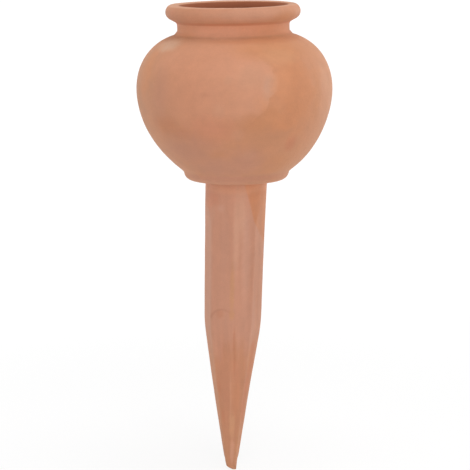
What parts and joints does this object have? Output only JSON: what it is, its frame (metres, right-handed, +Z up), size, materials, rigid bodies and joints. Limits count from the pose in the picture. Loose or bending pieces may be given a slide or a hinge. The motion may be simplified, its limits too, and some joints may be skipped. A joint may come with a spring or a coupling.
{
  "type": "watering spike",
  "caption": "Terracotta jar with a rolled rim on a hollow pointed spike with pared flats; pushed into soil, it lets water seep to the roots.",
  "frame": {"origin": "on the jar's axis at the underside of its foot, which rests on the soil and from which the spike goes down", "axes": "+Z up through the mouth along the jar's axis, -Y towards the front, where a ridge of the spike shows; the spike leans two degrees from the axis, its tip towards -X"},
  "size_m": [0.1238, 0.1238, 0.3],
  "materials": {
    "terracotta": "matte"
  },
  "bodies": {
    "root": {"watering_spike": "terracotta"}
  },
  "joints": []
}
